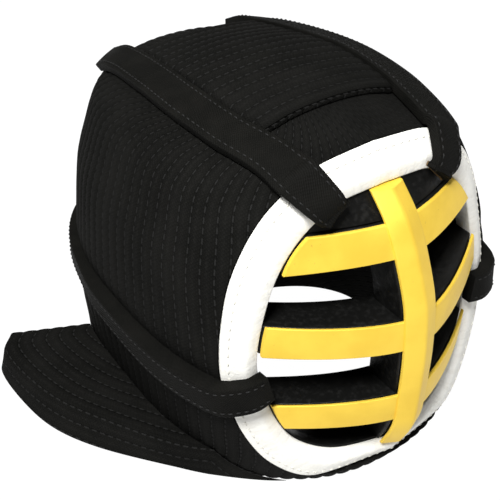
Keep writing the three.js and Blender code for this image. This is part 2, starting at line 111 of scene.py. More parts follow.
def column(rows, key, name):
    """A smooth curve through one column, read at a value of the key column."""
    places, values = zip(*sorted((row[key], row[name]) for row in rows))
    slopes = (np.diff(values) / np.diff(places)).tolist()
    tangents = [slopes[0]]
    for before, after in zip(slopes, slopes[1:]):
        tangents.append(0 if before * after <= 0 else 2 * before * after / (before + after))
    tangents.append(slopes[-1])

    def read(value):
        if value <= places[0]:
            return values[0]
        if value >= places[-1]:
            return values[-1]
        i = bisect.bisect(places, value) - 1
        width = places[i + 1] - places[i]
        t = (value - places[i]) / width
        return (
            values[i] * (1 + 2 * t) * (1 - t) ** 2
            + values[i + 1] * (3 - 2 * t) * t**2
            + width * (tangents[i] * t * (1 - t) ** 2 - tangents[i + 1] * (1 - t) * t**2)
        )

    return read


def columns(rows, key):
    return {name: column(rows, key, name) for name in rows[0] if name != key}


def mix(a, b, t):
    return a + (b - a) * t


def lengths(path):
    """How far along a path each of its points is."""
    return np.r_[0, np.cumsum(np.linalg.norm(np.diff(path, axis=0), axis=1))]


def unit(vectors):
    return vectors / np.maximum(np.linalg.norm(vectors, axis=-1, keepdims=True), 1e-9)


def resample(path, count):
    """Points at even distances along a path, whose first three columns are its places."""
    path = np.asarray(path, float)
    run = lengths(path[:, :3])
    at = np.linspace(0, run[-1], count)
    return np.stack([np.interp(at, run, path[:, k]) for k in range(path.shape[1])], axis=1)


def rounded(path, keep, closed=True):
    """Cut the corners of a path twice, so that they turn into curves."""
    path = np.asarray(path, float)
    for _ in range(2):
        after = np.roll(path, -1, axis=0) if closed else path[1:]
        here = path if closed else path[:-1]
        cut = np.empty((2 * len(here), path.shape[1]))
        cut[0::2] = mix(here, after, keep)
        cut[1::2] = mix(here, after, 1 - keep)
        path = cut if closed else np.r_[path[:1], cut[1:-1], path[-1:]]
    return path


def softened(corners, radii, fine=3):
    """A ring of corners in space, each turned into an arc of about its own radius."""
    made = []
    for i, (corner, radius) in enumerate(zip(corners, radii)):
        before, after = corners[i - 1], corners[(i + 1) % len(corners)]
        back, on = before - corner, after - corner
        reach = [min(radius / max(np.linalg.norm(way), 1e-9), 0.48) for way in (back, on)]
        start, stop = corner + back * reach[0], corner + on * reach[1]
        for t in np.linspace(0, 1, fine + 1):
            made.append((1 - t) ** 2 * start + 2 * t * (1 - t) * corner + t**2 * stop)
    return np.array(made)


# %% [markdown]
# ## Meshes from rings
#
# Nearly every piece here is a row of rings, joined each to the next and closed at both ends. Such a
# loft keeps its faces in straight lines, which stitching and weave can follow. The length round the
# ring and the length along the piece go into a UV map in metres.

# %% Loft, cut and show a mesh
MERGE = 0.02


def to_mesh(name, vertices, faces, uvs=None):
    """A mesh object in the frame's metres from the tables' millimetres, faces turned outwards."""
    mesh = bpy.data.meshes.new(name)
    placed = (np.asarray(vertices, float) + (0, SHIFT, 0)) * MM
    mesh.from_pydata(placed.tolist(), [], faces)
    if uvs is not None:
        layer = mesh.uv_layers.new(name="cloth")
        layer.data.foreach_set("uv", (np.asarray(uvs, float) * MM).ravel())
    work = bmesh.new()
    work.from_mesh(mesh)
    bmesh.ops.remove_doubles(work, verts=work.verts, dist=MERGE * MM)
    bmesh.ops.recalc_face_normals(work, faces=work.faces)
    if work.calc_volume(signed=True) < 0:
        bmesh.ops.reverse_faces(work, faces=work.faces)
    work.to_mesh(mesh)
    work.free()
    return shown(name, mesh)


def loft(name, rings, joined=False, across_at=None):
    """A closed body through rings of equal count; joined runs the last ring into the first.

    The map across is the rings' own length, unless across_at gives one for all or for each.
    """
    rings = np.asarray(rings, float)
    turns, count = rings.shape[:2]
    faces, uvs = [], []
    onward = np.linalg.norm(np.roll(rings, -1, axis=0) - rings, axis=2)
    along = np.r_[0, np.cumsum(onward.mean(axis=1))]
    if across_at is None:
        around = np.array([lengths(np.r_[ring, ring[:1]]) for ring in rings])
    else:
        around = np.broadcast_to(across_at, (turns, count + 1))
    for r in range(turns if joined else turns - 1):
        s = (r + 1) % turns
        for i in range(count):
            j = (i + 1) % count
            faces.append((r * count + i, r * count + j, s * count + j, s * count + i))
            uvs += [(along[r], around[r, k]) for k in (i, i + 1)]
            uvs += [(along[r + 1], around[s, k]) for k in (i + 1, i)]
    if not joined:
        for ring, start in ((rings[0], 0), (rings[-1], (turns - 1) * count)):
            faces.append(tuple(range(start, start + count)))
            uvs += ring[:, ::2].tolist()
    return to_mesh(name, rings.reshape(-1, 3), faces, uvs)


def combine(target, tool, operation):
    """Add, take away or intersect another body, which is used up."""
    change = target.modifiers.new("combine", "BOOLEAN")
    change.solver, change.operation, change.object = "MANIFOLD", operation, tool
    graph = bpy.context.evaluated_depsgraph_get()
    result = bpy.data.meshes.new_from_object(target.evaluated_get(graph))
    target.modifiers.clear()
    target.data = result
    bpy.data.objects.remove(tool)
    return target


def dress(made, material, replaced=(), sharp=35):
    """Shade smoothly up to an angle, give a finish, and fix the piece to the mask's one body."""
    made.data.materials.clear()
    made.data.materials.append(material)
    made.data.shade_smooth()
    made.data.set_sharp_from_angle(angle=math.radians(sharp))
    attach(made, "root")
    if replaced:
        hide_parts(*replaced)
    print(f"{made.name}: {len(made.data.polygons)} faces")
    return made

# %% [markdown]
# ## Finishes written as sums
#
# A finish is a graph of nodes. Wiring it call by call hides what it works out, so a small class
# wraps a socket and lets Python's own operators add the Math nodes. Every other kind of node comes
# from one method, which takes its type, its settings and what goes into its sockets.


# %% Wrap sockets and nodes
class Wire:
    """A socket's value in a finish, for use in sums."""

    def __init__(self, finish, socket):
        self.finish = finish
        self.socket = socket

    def of(self, operation, *values):
        """An operation of the Math node, such as SINE or FRACT."""
        return self.finish.node("Math", {"operation": operation}, self, *values)

    def __add__(self, other):
        return self.of("ADD", other)

    def __sub__(self, other):
        return self.of("SUBTRACT", other)

    def __rsub__(self, other):
        return self.finish.node("Math", {"operation": "SUBTRACT"}, other, self)

    def __mul__(self, other):
        return self.of("MULTIPLY", other)

    def __truediv__(self, other):
        return self.of("DIVIDE", other)

    __radd__ = __add__


class Finish:
    """A material and the nodes that it is made of."""

    def __init__(self, name):
        self.material = bpy.data.materials.new(name)
        self.material.use_nodes = True
        self.tree = self.material.node_tree
        self.tree.nodes.clear()

    def node(self, kind, settings=None, *values, out=0, **named):
        made = self.tree.nodes.new("ShaderNode" + kind)
        for key, value in (settings or {}).items():
            setattr(made, key, value)
        for socket, value in zip(made.inputs, values):
            self.put(socket, value)
        for name, value in named.items():
            self.put(made.inputs[name.replace("_", " ")], value)
        return Wire(self, made.outputs[out]) if len(made.outputs) else None

    def put(self, socket, value):
        if isinstance(value, Wire):
            self.tree.links.new(value.socket, socket)
        elif value is not None:
            socket.default_value = (*value, 1) if socket.type == "RGBA" else value

    def surface(self, **sockets):
        """The Principled surface of the finish, from its sockets' names."""
        shader = self.node("BsdfPrincipled", **sockets)
        self.node("OutputMaterial", None, shader)
        return self.material


def blend(finish, amount, first, second):
    """From the first colour to the second by an amount from 0 to 1."""
    made = finish.node("Mix", {"data_type": "RGBA"}, amount, out=2)
    for k, value in ((6, first), (7, second)):
        finish.put(made.socket.node.inputs[k], value)
    return made


def ease(value, low, high):
    """0 below low, 1 above high, and a smooth step between; low may be the larger."""
    smooth = {"interpolation_type": "SMOOTHSTEP"}
    return value.finish.node("MapRange", smooth, value, low, high, 0.0, 1.0)


def on_cloth(finish):
    """The place on a piece in millimetres: along it and across it."""
    place = finish.node("UVMap", {"uv_map": "cloth"})
    split = finish.node("SeparateXYZ", None, place)
    return [Wire(finish, output) / MM for output in split.socket.node.outputs[:2]]


def clouds(finish, size, detail=3.0):
    """Soft noise whose lumps are about size millimetres across."""
    place = finish.node("TexCoord", out=3)
    return finish.node("TexNoise", Vector=place, Scale=1 / (size * MM), Detail=detail)


def relief(finish, height, strength=1.0):
    """A surface normal from a height in millimetres."""
    return finish.node("Bump", Strength=strength, Distance=MM, Height=height)


TURN = 2 * math.pi
print("shader helpers ready")

# %% [markdown]
# ## Quilted cotton
#
# The hood, the pad and the flaps are thick indigo cotton, dyed almost black and quilted in rows,
# with raised grains in the weave, like grains of rice. The rows are real channels in the mesh. The
# finish adds what is finer: the pull of the thread in each row, the dashes of the running stitch,
# the grains, and a paler crown on each channel where it rubs.

# %% The quilted finish
ROW = 10.5
STITCH = 6.0
GRAIN = 2.3


def quilted_cotton():
    finish = Finish("quilted_cotton")
    along, across = on_cloth(finish)
    place = (across / ROW).of("FRACT")
    from_row = (place - 0.5).of("ABSOLUTE") * -1.0 + 0.5
    in_row = ease(from_row, 0.13, 0.02)
    number = (across / ROW + 0.5).of("FLOOR")
    shift = (number * 0.5).of("FRACT")
    dash_place = (along / STITCH + shift).of("FRACT")
    dash = ease(dash_place, 0.0, 0.1) * ease(dash_place, 0.72, 0.6)
    thread = dash * ease(from_row, 0.075, 0.03)
    grains = (along * (TURN / GRAIN)).of("SINE") * (across * (TURN / GRAIN / 1.3)).of("SINE")
    threads = (across * (TURN / 0.9)).of("SINE") * 0.3
    dye = clouds(finish, 38, 4)
    fuzz = clouds(finish, 1.6, 2)
    dark = blend(finish, ease(dye, 0.35, 0.7), (0.0043, 0.0043, 0.0038), (0.0068, 0.0067, 0.006))
    crown = ease(from_row, 0.25, 0.5) * ease(fuzz, 0.35, 0.75)
    rubbed = crown * 0.55 + ease(grains, 0.2, 0.9) * 0.25
    cloth = blend(finish, rubbed, dark, (0.0122, 0.012, 0.0109))
    sewn = blend(finish, thread * 0.8, cloth, (0.0175, 0.0175, 0.017))
    height = (
        thread * 0.5 - in_row * 0.75 + (grains + threads) * 0.1 * (1.0 - in_row) + fuzz * 0.16
    )
    return finish.surface(
        Base_Color=sewn,
        Roughness=0.78 + fuzz * 0.2,
        Specular_IOR_Level=0.05,
        Normal=relief(finish, height),
    )


cotton = quilted_cotton()
print("finish", cotton.name)

# %% [markdown]
# ## Strap cloth and its raw edge
#
# The straps are a firm black twill over a leather core. A twill's fine slanting ribs are a sine of
# the sum of both directions. Where a strap is cut off, the brown core shows.

# %% The strap finishes
TWILL = 1.5


def strap_twill():
    finish = Finish("strap_twill")
    along, across = on_cloth(finish)
    ribs = ((along + across) * (TURN / TWILL)).of("SINE")
    cross = ((along - across * 0.6) * (TURN / TWILL / 1.6)).of("SINE")
    wear = clouds(finish, 16, 5)
    fuzz = clouds(finish, 1.1, 2)
    dark = blend(finish, ease(wear, 0.35, 0.72), (0.0032, 0.0032, 0.0026), (0.0056, 0.0054, 0.0045))
    worn = blend(finish, ease(ribs + fuzz, 0.9, 1.6) * 0.5, dark, (0.0106, 0.0103, 0.0088))
    return finish.surface(
        Base_Color=worn,
        Roughness=0.62 + wear * 0.25,
        Specular_IOR_Level=0.07,
        Normal=relief(finish, ribs * 0.09 + cross * 0.04 + fuzz * 0.14 + wear * 0.5),
    )


def raw_leather():
    finish = Finish("raw_leather")
    fibres = clouds(finish, 1.2, 4)
    shade = blend(finish, fibres, (0.055, 0.03, 0.008), (0.16, 0.095, 0.03))
    return finish.surface(
        Base_Color=shade, Roughness=0.7 + fibres * 0.2, Normal=relief(finish, fibres * 0.4)
    )


twill = strap_twill()
raw_edge = raw_leather()
print("finishes", twill.name, raw_edge.name)

# %% [markdown]
# ## White leather
#
# The rim is padded white leather. Its small cells come from a Voronoi texture, its soft creases
# from noise that is stretched across the rim, and its handling marks from large soft noise.


# %% The leather finish
def white_leather():
    finish = Finish("white_leather")
    along, across = on_cloth(finish)
    place = finish.node("TexCoord", out=3)
    cells = finish.node("TexVoronoi", {"feature": "SMOOTH_F1"}, Vector=place, Scale=1 / (1.5 * MM))
    pulled = finish.node("CombineXYZ", None, along / 5.5, across / 26.0, 0.0)
    creases = finish.node("TexNoise", Vector=pulled, Scale=1.0, Detail=3.0)
    marks = clouds(finish, 30, 5)
    clean = (0.88, 0.87, 0.82)
    handled = (0.66, 0.62, 0.53)
    tint = blend(finish, ease(marks, 0.5, 0.78) * 0.35, clean, handled)
    lines = ease(creases, 0.47, 0.42)
    shade = blend(finish, lines * 0.12 + ease(cells, 0.45, 0.8) * 0.08, tint, (0.5, 0.46, 0.38))
    height = creases * 0.55 - cells * 0.22 + clouds(finish, 0.7, 1) * 0.05
    return finish.surface(
        Base_Color=shade,
        Roughness=0.42 + marks * 0.2,
        Specular_IOR_Level=0.4,
        Normal=relief(finish, height, 0.8),
    )


def thread(name, shaded, lit, **sockets):
    finish = Finish(name)
    twist = clouds(finish, 0.8, 2)
    shade = blend(finish, twist, shaded, lit)
    return finish.surface(Base_Color=shade, Normal=relief(finish, twist * 0.2), **sockets)


leather = white_leather()
pale_thread = thread("white_thread", (0.6, 0.58, 0.5), (0.85, 0.84, 0.78), Roughness=0.7)
dark = (0.007, 0.007, 0.007), (0.018, 0.018, 0.0174)
dark_thread = thread("black_thread", *dark, Roughness=0.6, Specular_IOR_Level=0.2)
print("finishes", leather.name, pale_thread.name, dark_thread.name)

# %% [markdown]
# ## Gilding and black lacquer
#
# The grille's front is gilded metal, brushed along each bar, with a softer gloss where it is
# handled and a few darker specks. The core behind it is black lacquer, with a faint ripple from the
# brush and a little dust.


# %% The metal finishes
def gilding():
    finish = Finish("gilding")
    along, across = on_cloth(finish)
    drawn = finish.node("CombineXYZ", None, along / 14.0, across / 0.5, 0.0)
    brushed = finish.node("TexNoise", Vector=drawn, Scale=1.0, Detail=3.0)
    handled = clouds(finish, 24, 4)
    specks = ease(clouds(finish, 2.2, 2), 0.72, 0.8)
    gold = blend(finish, ease(handled, 0.35, 0.7), (0.82, 0.555, 0.057), (0.89, 0.622, 0.072))
    shade = blend(finish, specks * 0.5, gold, (0.42, 0.23, 0.04))
    return finish.surface(
        Base_Color=shade,
        Metallic=0.35,
        Specular_IOR_Level=0.25,
        Roughness=0.36 + handled * 0.14 + brushed * 0.12,
        Normal=relief(finish, brushed * 0.05 + handled * 0.35 - specks * 0.08),
    )


def lacquer():
    finish = Finish("black_lacquer")
    ripple = clouds(finish, 7, 2)
    dust = clouds(finish, 3, 5)
    dusty = ease(dust, 0.5, 0.8) * 0.3
    shade = blend(finish, dusty, (0.0045, 0.0045, 0.0042), (0.0135, 0.0132, 0.012))
    return finish.surface(
        Base_Color=shade,
        Roughness=0.34 + ease(dust, 0.4, 0.75) * 0.3,
        Specular_IOR_Level=0.2,
        Coat_Weight=0.03,
        Normal=relief(finish, ripple * 0.35 + dust * 0.05),
    )


gilt = gilding()
black = lacquer()
print("finishes", gilt.name, black.name)

# %% [markdown]
# ## The hood
#
# The hood is a thick quilted shell. On the CAD solid the stitched rows would cross its faces at
# random, so it is lofted again from its levels, with a fixed number of columns for each channel
# between two rows of stitches, and each row runs cleanly from the base up to the crown. The hollow,
# the seat of the rim and the face opening are cut out afterwards.

# %% The forms of the hood
HOOD_LEVELS = table(
    "z half front back square_front square_back",
    (0, 118.5, 139.5, 118, 2.2, 5.4),
    (11, 119.5, 146, 122, 2.25, 5.2),
    (24, 121, 153, 126, 2.3, 4.6),
    (50, 123.5, 159.5, 139.5, 2.5, 3.7),
    (74, 125.5, 163.5, 147, 2.6, 3.1),
    (98, 126.5, 162.5, 150, 2.6, 2.7),
    (112, 128.5, 161, 154, 2.6, 2.55),
    (135, 126, 153, 155, 2.6, 2.5),
    (160, 121.5, 142.5, 155, 2.55, 2.5),
    (184, 113.5, 134, 152.5, 2.5, 2.45),
    (204, 105, 126, 149, 2.4, 2.4),
    (217, 93, 120, 135.5, 2.3, 2.2),
    (226, 79, 114, 102, 1.95, 1.98),
    (232, 61, 97, 69.5, 1.75, 1.85),
    (237, 42, 72, 44, 1.8, 1.9),
    (241, 6, 14, 8, 2, 2),
)
HOLLOW_LEVELS = table(
    "z half front back square_front square_back",
    (-20, 84, 118, 56, 2.5, 1.9),
    (0, 91.5, 124, 67, 2.5, 1.9),
    (40, 104, 138, 106, 2.5, 2.2),
    (98, 112, 150, 137, 2.5, 2.5),
    (150, 109, 134, 144, 2.5, 2.5),
    (195, 90, 116, 128, 2.5, 2.3),
    (214, 62, 94, 92, 2.5, 2.2),
    (226, 10, 16, 12, 2.5, 2),
)
print("hood levels", len(HOOD_LEVELS), "hollow levels", len(HOLLOW_LEVELS))

# %% Rings of the hood
GAP = 0.4
RING_FINE = 1440
SIDE_FINE = 600
hood_at = columns(HOOD_LEVELS, "z")
hollow_at = columns(HOLLOW_LEVELS, "z")


def signed_power(value, exponent):
    return np.sign(value) * np.abs(value) ** exponent


def plan_ring(at, z, count, grow=0.0):
    """One level of a rounded plan at even distances, from the middle of the back round to it."""
    angle = np.linspace(0, TURN, RING_FINE + 1) + TURN / 4
    cos, sin = np.cos(angle), np.sin(angle)
    square = np.where(sin < 0, at["square_front"](z), at["square_back"](z))
    reach = np.where(sin < 0, at["front"](z), at["back"](z)) + grow
    x = (at["half"](z) + grow) * signed_power(cos, 2 / square)
    y = reach * signed_power(sin, 2 / square)
    return resample(np.c_[x, y, np.full_like(x, z)], count + 1)[:-1]


def levels_rings(at, rows, ring_count, count):
    """Rings at even distances along the side of a body, from its base to its top."""
    z = np.linspace(rows[0]["z"], rows[-1]["z"], SIDE_FINE)
    side = np.array([(at["half"](v) + at["back"](v), 0, v) for v in z])
    return np.array([plan_ring(at, v, count) for v in resample(side, ring_count)[:, 2]])


def halve(holds, start, stop, steps=30):
    """The last place on the way from start to stop where a test holds, found by halving."""
    for _ in range(steps):
        middle = (start + stop) / 2
        start, stop = (middle, stop) if holds(middle) else (start, middle)
    return start


def beyond_hood(x, y, z, grow=0.0):
    """Whether a place is outside the hood grown sideways."""
    side = "front" if y < 0 else "back"
    square = hood_at[f"square_{side}"](z)
    wide, deep = hood_at["half"](z) + grow, hood_at[side](z) + grow
    return abs(x / wide) ** square + abs(y / deep) ** square > 1


def on_hood(x, y):
    """The place on the crown over a place in the plan."""
    low, high = HOOD_LEVELS[3]["z"], HOOD_LEVELS[-1]["z"]
    return (x, y, halve(lambda z: not beyond_hood(x, y, z), low, high))


print("crown at", round(on_hood(0, 0)[2], 1))

# %% The face opening
FACE_ROWS = table(
    "at inner_x inner_z inner_y outer_x outer_z outer_y",
    (0, 0, 209.5, -110.5, 0, 231.2, -97.8),
    (1, 29, 208.5, -110.5, 36, 228.3, -97.8),
    (2, 60, 191, -109, 77, 204, -95.5),
    (3, 79, 161, -108.5, 101, 161, -94.8),
    (4, 89.2, 112, -109, 110.6, 108, -101),
    (5, 82, 72, -114, 105.4, 72, -109.9),
    (6, 67, 42, -123, 87, 32, -121.8),
    (7, 40, 28, -134.5, 56, 12, -134.2),
    (8, 0, 23.5, -142.5, 0, 9.5, -142.5),
)
FACE_LAST = FACE_ROWS[-1]["at"]
FACE_STEPS = 96
NEARBY = 0.05
RIM_EDGE = 1.6
RIDGE_IN = 0.4
RIDGE_RISE = 4.2
SEAT_FLARE = 15
SEAT_LENGTH = 25
WINDOW_DEPTH = 62
FAR_FRONT = -260
FRAME_WALL = 5
face_at = columns(FACE_ROWS, "at")


def face_point(t, across):
    """A place between the rim's inner edge (0) and its outer edge (1), t rows down from the top."""
    edges = ([face_at[f"{edge}_{k}"](t) for k in "xyz"] for edge in ("inner", "outer"))
    return mix(*map(np.array, edges), across)


def face_outline(across, out=0.0):
    """The opening's outline as a ring, moved sideways by out."""
    right = []
    for t in np.linspace(0, FACE_LAST, FACE_STEPS + 1):
        x, y, z = face_point(t, across)
        before = face_point(max(0, t - NEARBY), across)
        after = face_point(min(FACE_LAST, t + NEARBY), across)
        dx, dz = after[0] - before[0], after[2] - before[2]
        size = math.hypot(dx, dz)
        ends = t in (0, FACE_LAST)
        turn_x = 0 if ends else -dz / size
        turn_z = -1 if t == FACE_LAST else dx / size
        right.append((x + out * turn_x, y, z + out * turn_z))
    left = [(-x, y, z) for x, y, z in right[-2:0:-1]]
    return np.array(right + left)


def with_y(ring, y):
    moved = ring.copy()
    moved[:, 1] = y
    return moved


def ridge_rise(across):
    """How far the rim's front stands before its edges, from the inner edge (0) to the outer (1)."""
    rise = across / RIDGE_IN if across < RIDGE_IN else (1 - across) / (1 - RIDGE_IN)
    return RIDGE_RISE * max(0, rise)


def rim_back(inner, outer):
    return np.maximum(inner[:, 1], outer[:, 1]) + RIM_EDGE


print("face opening", len(face_outline(0)), "points")

# %% Cut the hood out of its levels
CHANNELS = 84
PER_CHANNEL = 5
HOOD_RINGS = 104
HOLLOW_RINGS = 50
HOLLOW_COLUMNS = 120
PUFF = 0.9
SWELL_POWER = 0.7
CENTRE_DROP = 60


def swell(rows):
    """How full the padding is, from 0 at a seam to 1 halfway to the next, some rows from a seam."""
    return np.abs(np.sin(np.pi * rows)) ** SWELL_POWER


def puffed(rings):
    """The outside with a valley along every row of stitches and a swell between rows."""
    along = np.gradient(rings, axis=0)
    around = np.roll(rings, -1, axis=1) - np.roll(rings, 1, axis=1)
    out = unit(np.cross(around, along))
    centre = rings.mean(axis=1, keepdims=True) - (0, 0, CENTRE_DROP)
    out *= np.sign(np.sum(out * (rings - centre), axis=2, keepdims=True))
    width = np.linalg.norm(around, axis=2, keepdims=True) * PER_CHANNEL / 2
    fall = 1 - swell(np.arange(rings.shape[1]) / PER_CHANNEL)
    return rings - out * PUFF * np.minimum(1, width / ROW) * fall[None, :, None]


def cut_for_face(body):
    """Take the seat of the rim and the window inside it out of a body."""
    inner, outer = face_outline(0), face_outline(1)
    edge, flare = face_outline(1, GAP), face_outline(1, SEAT_FLARE)
    back = rim_back(inner, outer) + GAP
    seat = [
        with_y(inner, FAR_FRONT),
        with_y(flare, FAR_FRONT),
        with_y(flare, back - SEAT_LENGTH),
        with_y(edge, back),
        with_y(inner, back),
    ]
    combine(body, loft("seat", np.stack(seat, axis=1), joined=True), "DIFFERENCE")
    opening = face_outline(0, FRAME_WALL + 2 * GAP)
    window = [with_y(opening, FAR_FRONT), with_y(opening, opening[:, 1] + WINDOW_DEPTH)]
    combine(body, loft("window", window), "DIFFERENCE")


def quilted_hood():
    around = CHANNELS * PER_CHANNEL
    rows_at = np.arange(around + 1) * ROW / PER_CHANNEL
    rings = levels_rings(hood_at, HOOD_LEVELS, HOOD_RINGS, around)
    body = loft("hood_quilt", puffed(rings), across_at=rows_at)
    hollow = levels_rings(hollow_at, HOLLOW_LEVELS, HOLLOW_RINGS, HOLLOW_COLUMNS)
    combine(body, loft("hollow", hollow), "DIFFERENCE")
    cut_for_face(body)
    return body


hood = dress(quilted_hood(), cotton, ["hood"], sharp=50)

# %% [markdown]
# ## The crown pad
#
# A raised pad lies on the crown between the straps, quilted in rows from side to side. It is a grid
# of places on the hood, a few to each row of stitches, lifted by its thickness and rounded down at
# its edges.

# %% The crown pad
PAD_THICK = 6.5
PAD_FRONT = -57
PAD_BACK = 96
PAD_ACROSS = 40
PAD_EDGE = 3.4
PAD_ROWS_FINE = 5
PAD_BORDER = 0.45
STRAP_WIDTH = 24
STRAP_THICK = 7.5
STRAP_PATH = table(
    "y x slant level",
    (127, 57, 12, 0),
    (108, 58.2, 7, 0.05),
    (90, 60, 3.5, 0.05),
    (50, 64, 0.5, 0.05),
    (0, 67, 0, 0.05),
    (-40, 64.6, 0, 0.05),
    (-75, 57.5, 0, 0.05),
    (-93, 54, 0, 0.05),
)
strap_at = columns(STRAP_PATH, "y")


def normals_of(grid):
    return unit(np.cross(np.gradient(grid, axis=0), np.gradient(grid, axis=1)))


def crown_pad():
    rows = round((PAD_BACK - PAD_FRONT) / ROW)
    count = rows * PAD_ROWS_FINE
    run = np.linspace(PAD_FRONT, PAD_BACK, count + 1)
    across = np.linspace(1, -1, PAD_ACROSS + 1)
    halves = np.array([strap_at["x"](y) - STRAP_WIDTH / 2 - 2 * GAP for y in run])
    grid = np.array([[on_hood(half * s, y) for s in across] for y, half in zip(run, halves)])
    out = normals_of(grid)
    from_side = halves[:, None] * (1 - np.abs(across))[None, :]
    from_end = np.minimum(run - PAD_FRONT, PAD_BACK - run)[:, None]
    inside = np.clip(np.minimum(from_side, from_end) / PAD_EDGE, 0, 1)
    rise = np.sqrt(1 - (1 - inside) ** 2)
    fall = 1 - swell(np.arange(count + 1) / PAD_ROWS_FINE)
    top = mix(PAD_BORDER, 1.0, rise) * (PAD_THICK - 2 * GAP) + 2 * GAP - PUFF * fall[:, None] * rise
    sections = [
        np.concatenate([g + n * 2 * GAP, (g + n * t[:, None])[::-1]])
        for g, n, t in zip(grid, out, top)
    ]
    body = loft("crown_pad_quilt", np.array(sections))
    # The map is turned, so that the rows of stitches cross the pad.
    layer = body.data.uv_layers["cloth"].data
    flat = np.empty(2 * len(layer))
    layer.foreach_get("uv", flat)
    turned = flat.reshape(-1, 2)[:, ::-1]
    turned[:, 1] *= rows * ROW * MM / turned[:, 1].max()
    layer.foreach_set("uv", np.ascontiguousarray(turned).ravel())
    return body


pad = dress(crown_pad(), cotton, ["crown_pad"], sharp=60)

# %% [markdown]
# ## Straps and stitches
#
# A strap is a ribbon: a grid of places on the surface that it lies on, and a rounded section that
# stands on those places. Stitches are short rods of thread, laid along a line at an even pitch and
# dipping into the cloth at both ends, all of a seam in one mesh.

# %% Ribbons
CORNER_FINE = 4


def strap_section(width, thick, top, foot, flat=6):
    """Outline of a section with rounded corners, as fractions of its width and thickness."""
    corners = ((0, 0, foot, 180), (1, 0, foot, 270), (1, 1, top, 0), (0, 1, top, 90))
    outline = []
    for side, level, radius, start in corners:
        x = mix(radius, width - radius, side)
        y = mix(radius, thick - radius, level)
        for k in range(CORNER_FINE + 1):
            angle = math.radians(start + 90 * k / CORNER_FINE)
            outline.append((x + radius * math.cos(angle), y + radius * math.sin(angle)))
    outline = np.array(outline) / (width, thick)
    dense = []
    for here, after in zip(outline, np.roll(outline, -1, axis=0)):
        pieces = flat if abs(after[0] - here[0]) > 0.5 else 1
        dense += [mix(here, after, k / pieces) for k in range(pieces)]
    return np.array(dense)


def across_row(row, places):
    """What a row of a grid, or of numbers, has at places from 0 to 1 across it."""
    at = np.linspace(0, 1, len(row))
    parts = np.reshape(row, (len(row), -1)).T
    return np.stack([np.interp(places, at, part) for part in parts], axis=-1)


def ribbon(name, grid, low, high, section, lift=None):
    """A strap that stands on a grid from low to high, which may differ from row to row."""
    out = normals_of(grid)
    high = np.broadcast_to(high, len(grid))
    rings = []
    for r, row in enumerate(grid):
        base = across_row(row, section[:, 0])
        normal = across_row(out[r], section[:, 0])
        ring = base + normal * (low + section[:, 1:] * (high[r] - low))
        if lift is not None:
            ring[:, 2:] += section[:, 1:] * across_row(lift[r], section[:, 0])
        rings.append(ring)
    return loft(name, rings)


def smooth_rows(rows, fine):
    """More rows between the rows of a grid, on a curve through all of them."""
    rows = np.asarray(rows, float)
    padded = np.r_[2 * rows[:1] - rows[1:2], rows, 2 * rows[-1:] - rows[-2:-1]]
    made = []
    for i in range(1, len(padded) - 2):
        a, b, c, d = padded[i - 1 : i + 3]
        for t in np.arange(fine) / fine:
            square, cube = 2 * a - 5 * b + 4 * c - d, 3 * b - a - 3 * c + d
            made.append(0.5 * (2 * b + (c - a) * t + square * t**2 + cube * t**3))
    return np.array(made + [rows[-1]])


def dress_both(right, material, node=None, sharp=35):
    """Dress a piece of the +X side and its mirror image on the other side."""
    mesh = right.data.copy()
    mesh.transform(Matrix.Scale(-1, 4, (1, 0, 0)))
    mesh.flip_normals()
    left = shown(right.name.replace("right", "left"), mesh)
    for made, side in ((right, "right"), (left, "left")):
        dress(made, material, [f"{node}_{side}"] if node else (), sharp)
    return right, left


# %% Stitches
ROD_SIDES = 6
ROD_RINGS = ((-1, 0.3), (-0.62, 0.85), (0, 1), (0.62, 0.85), (1, 0.3))
ROD_SINK = 0.1


def rod(size, thick):
    """One stitch: its places along, to the side and up, and its faces."""
    places, faces = [], []
    for r, (t, fat) in enumerate(ROD_RINGS):
        rise = 0.3 * (1 - t * t) - ROD_SINK - 0.25 * t * t
        for k in range(ROD_SIDES):
            angle = TURN * k / ROD_SIDES
            to_side, up = fat / 2 * math.cos(angle), fat / 2 * math.sin(angle) + rise
            places.append((t * size / 2, thick * to_side, thick * up))
            a, b = r * ROD_SIDES + k, r * ROD_SIDES + (k + 1) % ROD_SIDES
            faces.append((a, b, b + ROD_SIDES, a + ROD_SIDES))
    first, last = range(ROD_SIDES), range(len(places) - ROD_SIDES, len(places))
    return np.array(places), faces[:-ROD_SIDES] + [tuple(first), tuple(last)]


def stitches(name, lines, pitch=5.0, size=3.4, thick=1.0):
    """Rods of thread along lines of places and normals, all in one mesh."""
    vertices, faces = [], []
    rod_places, rod_faces = rod(size, thick)
    for places, normals in lines:
        path = np.c_[places, normals]
        count = max(2, int(lengths(places)[-1] / pitch) + 1)
        closed = np.allclose(path[0], path[-1])
        even = resample(path, count)[0 if closed else 1 : -1]
        heading, up = unit(np.gradient(even[:, :3], axis=0)), unit(even[:, 3:])
        side = np.cross(heading, up)
        for centre, *axes in zip(even[:, :3], heading, side, up):
            faces += [tuple(len(vertices) + i for i in face) for face in rod_faces]
            vertices += list(centre + rod_places @ np.array(axes))
    return to_mesh(name, vertices, faces)


def seam(grid, place, height, lift=None):
    """A line along a ribbon for stitches, at a fraction of its width and at a height."""
    places = np.array([across_row(row, place) for row in grid])
    normals = np.array([across_row(row, place) for row in normals_of(grid)])
    places += normals * np.reshape(height, (-1, 1))
    if lift is not None:
        places[:, 2:] += [across_row(row, place) for row in lift]
    return places, normals


